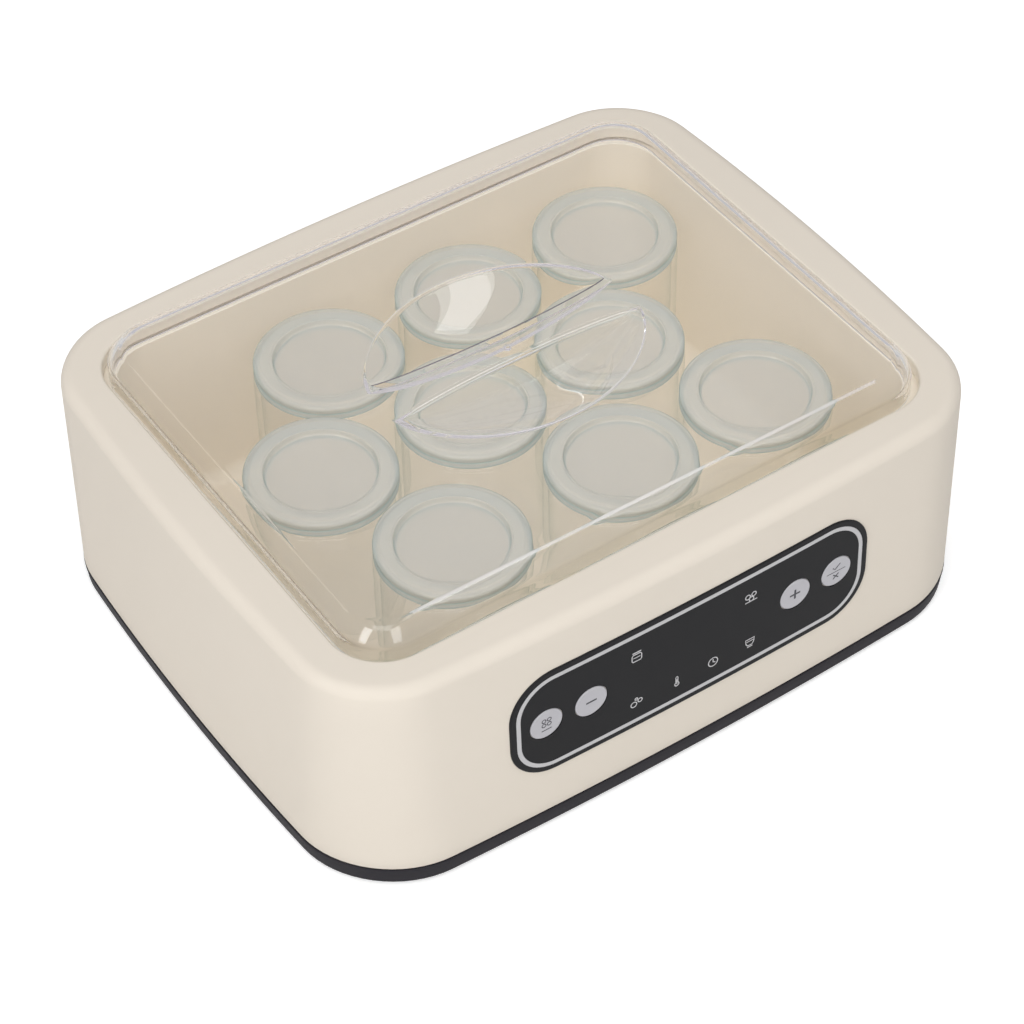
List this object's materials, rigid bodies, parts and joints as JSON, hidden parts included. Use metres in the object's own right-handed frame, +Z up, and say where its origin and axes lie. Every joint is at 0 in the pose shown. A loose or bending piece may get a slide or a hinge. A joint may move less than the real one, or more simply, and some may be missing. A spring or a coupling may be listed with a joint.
{
  "type": "yogurt maker",
  "caption": "Countertop yogurt maker with a cream case, clear lift-off lid with grip bar, loose glass pots with snap lids in a warm well, and a front control panel with push buttons.",
  "frame": {"origin": "centre of the footprint on the table, under the feet", "axes": "+Z up, the control panel faces -Y, +X to the right when facing the panel"},
  "size_m": [0.3112, 0.2531, 0.1192],
  "materials": {
    "case_cream": "fine satin",
    "well_cream": "satin",
    "base_charcoal": "satin",
    "foot_rubber": "matte",
    "screw_steel": "machined",
    "spreader_aluminium": "rolled",
    "heater_silicone": "matte",
    "insulation_felt": "needled felt",
    "board_green": "solder mask",
    "component_black": "moulded",
    "transformer_tape": "tape",
    "panel_black": "satin black",
    "panel_silver": "satin silver",
    "button_grey": "satin",
    "lid_clear": "clear polished",
    "jar_glass": "clear",
    "jar_lid_frosted": "translucent",
    "wire_sheath": "matte"
  },
  "bodies": {
    "root": {"base_tray": "base_charcoal", "board_screw_left": "screw_steel", "board_screw_right": "screw_steel", "buzzer": "component_black", "case_screw_back_left": "screw_steel", "case_screw_back_right": "screw_steel", "case_screw_front_left": "screw_steel", "case_screw_front_right": "screw_steel", "control_board": "board_green", "control_cable": "wire_sheath", "display_module": "component_black", "foot_back_left": "foot_rubber", "foot_back_right": "foot_rubber", "foot_front_left": "foot_rubber", "foot_front_right": "foot_rubber", "heat_spreader_plate": "spreader_aluminium", "heater_lead": "wire_sheath", "heating_element": "heater_silicone", "inner_well": "well_cream", "insulation_pad": "insulation_felt", "mains_inlet": "component_black", "mains_lead": "wire_sheath", "outer_case": "case_cream", "panel_face": "panel_black", "panel_frame": "panel_black", "panel_ring": "panel_silver", "power_board": "board_green", "relay": "component_black", "switch_confirm": "component_black", "switch_function": "component_black", "switch_minus": "component_black", "switch_plus": "component_black", "temperature_sensor": "spreader_aluminium", "thermal_fuse": "screw_steel", "transformer": "transformer_tape"},
    "lid": {"clear_lid": "lid_clear"},
    "button_function": {"button_function": "button_grey"},
    "button_minus": {"button_minus": "button_grey"},
    "button_plus": {"button_plus": "button_grey"},
    "button_confirm": {"button_confirm": "button_grey"},
    "jar_1": {"jar_1": "jar_glass"},
    "jar_lid_1": {"jar_lid_1": "jar_lid_frosted"},
    "jar_2": {"jar_2": "jar_glass"},
    "jar_lid_2": {"jar_lid_2": "jar_lid_frosted"},
    "jar_3": {"jar_3": "jar_glass"},
    "jar_lid_3": {"jar_lid_3": "jar_lid_frosted"},
    "jar_4": {"jar_4": "jar_glass"},
    "jar_lid_4": {"jar_lid_4": "jar_lid_frosted"},
    "jar_5": {"jar_5": "jar_glass"},
    "jar_lid_5": {"jar_lid_5": "jar_lid_frosted"},
    "jar_6": {"jar_6": "jar_glass"},
    "jar_lid_6": {"jar_lid_6": "jar_lid_frosted"},
    "jar_7": {"jar_7": "jar_glass"},
    "jar_lid_7": {"jar_lid_7": "jar_lid_frosted"},
    "jar_8": {"jar_8": "jar_glass"},
    "jar_lid_8": {"jar_lid_8": "jar_lid_frosted"},
    "jar_9": {"jar_9": "jar_glass"},
    "jar_lid_9": {"jar_lid_9": "jar_lid_frosted"}
  },
  "joints": [
    {"name": "lid_lift", "type": "slide", "parent": "root", "child": "lid", "axis": [0, 0, 1], "range_m": [0, 0.15]},
    {"name": "button_function_press", "type": "slide", "parent": "root", "child": "button_function", "axis": [0, 1, 0], "range_m": [0, 0.0005], "stiffness_N_per_m": 300},
    {"name": "button_minus_press", "type": "slide", "parent": "root", "child": "button_minus", "axis": [0, 1, 0], "range_m": [0, 0.0005], "stiffness_N_per_m": 300},
    {"name": "button_plus_press", "type": "slide", "parent": "root", "child": "button_plus", "axis": [0, 1, 0], "range_m": [0, 0.0005], "stiffness_N_per_m": 300},
    {"name": "button_confirm_press", "type": "slide", "parent": "root", "child": "button_confirm", "axis": [0, 1, 0], "range_m": [0, 0.0005], "stiffness_N_per_m": 300},
    {"name": "jar_1_lift", "type": "slide", "parent": "root", "child": "jar_1", "axis": [0, 0, 1], "range_m": [0, 0.075]},
    {"name": "jar_lid_1_lift", "type": "slide", "parent": "jar_1", "child": "jar_lid_1", "axis": [0, 0, 1], "range_m": [0, 0.03]},
    {"name": "jar_2_lift", "type": "slide", "parent": "root", "child": "jar_2", "axis": [0, 0, 1], "range_m": [0, 0.075]},
    {"name": "jar_lid_2_lift", "type": "slide", "parent": "jar_2", "child": "jar_lid_2", "axis": [0, 0, 1], "range_m": [0, 0.03]},
    {"name": "jar_3_lift", "type": "slide", "parent": "root", "child": "jar_3", "axis": [0, 0, 1], "range_m": [0, 0.075]},
    {"name": "jar_lid_3_lift", "type": "slide", "parent": "jar_3", "child": "jar_lid_3", "axis": [0, 0, 1], "range_m": [0, 0.03]},
    {"name": "jar_4_lift", "type": "slide", "parent": "root", "child": "jar_4", "axis": [0, 0, 1], "range_m": [0, 0.075]},
    {"name": "jar_lid_4_lift", "type": "slide", "parent": "jar_4", "child": "jar_lid_4", "axis": [0, 0, 1], "range_m": [0, 0.03]},
    {"name": "jar_5_lift", "type": "slide", "parent": "root", "child": "jar_5", "axis": [0, 0, 1], "range_m": [0, 0.075]},
    {"name": "jar_lid_5_lift", "type": "slide", "parent": "jar_5", "child": "jar_lid_5", "axis": [0, 0, 1], "range_m": [0, 0.03]},
    {"name": "jar_6_lift", "type": "slide", "parent": "root", "child": "jar_6", "axis": [0, 0, 1], "range_m": [0, 0.075]},
    {"name": "jar_lid_6_lift", "type": "slide", "parent": "jar_6", "child": "jar_lid_6", "axis": [0, 0, 1], "range_m": [0, 0.03]},
    {"name": "jar_7_lift", "type": "slide", "parent": "root", "child": "jar_7", "axis": [0, 0, 1], "range_m": [0, 0.075]},
    {"name": "jar_lid_7_lift", "type": "slide", "parent": "jar_7", "child": "jar_lid_7", "axis": [0, 0, 1], "range_m": [0, 0.03]},
    {"name": "jar_8_lift", "type": "slide", "parent": "root", "child": "jar_8", "axis": [0, 0, 1], "range_m": [0, 0.075]},
    {"name": "jar_lid_8_lift", "type": "slide", "parent": "jar_8", "child": "jar_lid_8", "axis": [0, 0, 1], "range_m": [0, 0.03]},
    {"name": "jar_9_lift", "type": "slide", "parent": "root", "child": "jar_9", "axis": [0, 0, 1], "range_m": [0, 0.075]},
    {"name": "jar_lid_9_lift", "type": "slide", "parent": "jar_9", "child": "jar_lid_9", "axis": [0, 0, 1], "range_m": [0, 0.03]}
  ],
  "couplings": [
    {"joint": "jar_1_lift", "follows": "lid_lift", "ratio": 0.5},
    {"joint": "jar_lid_1_lift", "follows": "lid_lift", "ratio": 0.2},
    {"joint": "jar_2_lift", "follows": "lid_lift", "ratio": 0.5},
    {"joint": "jar_lid_2_lift", "follows": "lid_lift", "ratio": 0.2},
    {"joint": "jar_3_lift", "follows": "lid_lift", "ratio": 0.5},
    {"joint": "jar_lid_3_lift", "follows": "lid_lift", "ratio": 0.2},
    {"joint": "jar_4_lift", "follows": "lid_lift", "ratio": 0.5},
    {"joint": "jar_lid_4_lift", "follows": "lid_lift", "ratio": 0.2},
    {"joint": "jar_5_lift", "follows": "lid_lift", "ratio": 0.5},
    {"joint": "jar_lid_5_lift", "follows": "lid_lift", "ratio": 0.2},
    {"joint": "jar_6_lift", "follows": "lid_lift", "ratio": 0.5},
    {"joint": "jar_lid_6_lift", "follows": "lid_lift", "ratio": 0.2},
    {"joint": "jar_7_lift", "follows": "lid_lift", "ratio": 0.5},
    {"joint": "jar_lid_7_lift", "follows": "lid_lift", "ratio": 0.2},
    {"joint": "jar_8_lift", "follows": "lid_lift", "ratio": 0.5},
    {"joint": "jar_lid_8_lift", "follows": "lid_lift", "ratio": 0.2},
    {"joint": "jar_9_lift", "follows": "lid_lift", "ratio": 0.5},
    {"joint": "jar_lid_9_lift", "follows": "lid_lift", "ratio": 0.2}
  ]
}
